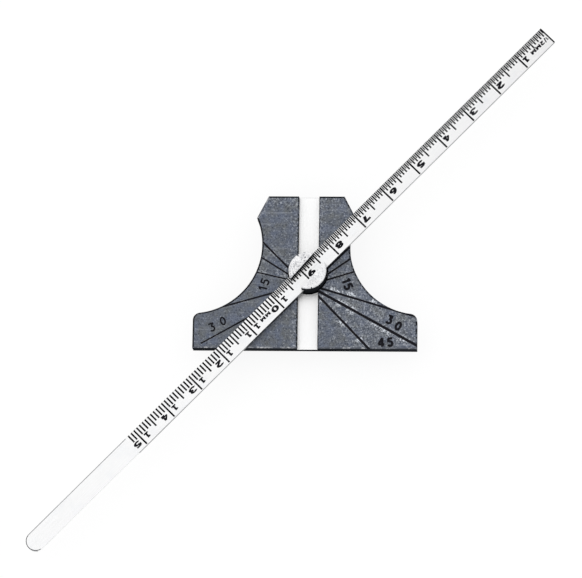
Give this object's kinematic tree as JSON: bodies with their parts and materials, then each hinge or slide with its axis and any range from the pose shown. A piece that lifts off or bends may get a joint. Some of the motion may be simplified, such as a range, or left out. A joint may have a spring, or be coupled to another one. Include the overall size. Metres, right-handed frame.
{
  "type": "angle and depth gauge",
  "caption": "Narrow graduated steel rule that slides and swings in a clamp turret on a bell-shaped head, for measuring depths and setting angles.",
  "frame": {"origin": "on the turret's axis, at the centre of the clamp nut's outer face, on which the gauge lies", "axes": "+Z along the turret's axis, out of the head's engraved face; +Y from the head's measuring face up to its top edge; +X across the head. The rule lies at 45.8 degrees to +X with its zero end towards +X and +Y"},
  "size_m": [0.1354, 0.139, 0.0137],
  "materials": {
    "blued_steel": "satin blue-grey oxide, ground bright in the groove",
    "satin_steel": "fine satin, near white, black-filled marks",
    "turned_steel": "bright, fine turned grain",
    "spring_steel": "smooth, tempered"
  },
  "bodies": {
    "head": {"head": "blued_steel"},
    "turret": {"turret": "turned_steel", "rule_spring": "spring_steel"},
    "rule": {"rule": "satin_steel"},
    "washers": {"thrust_washer": "turned_steel", "wave_washer": "spring_steel"},
    "clamp_nut": {"clamp_nut": "turned_steel"}
  },
  "joints": [
    {"name": "turret_turn", "type": "hinge", "parent": "head", "child": "turret", "pos_m": [0, 0, 0.0095], "axis": [0, 0, 1], "continuous": true},
    {"name": "rule_slide", "type": "slide", "parent": "turret", "child": "rule", "axis": [0.6972, 0.7169, 0], "range_m": [-0.083, 0.096]},
    {"name": "nut_travel", "type": "slide", "parent": "turret", "child": "washers", "axis": [0, 0, 1], "range_m": [-0.0016, 0]},
    {"name": "nut_turn", "type": "hinge", "parent": "washers", "child": "clamp_nut", "pos_m": [0, 0, 0.0023], "axis": [0, 0, 1], "range_deg": [-720, 0]}
  ],
  "couplings": [
    {"joint": "nut_turn", "follows": "nut_travel", "rad_per_m": 7854}
  ]
}
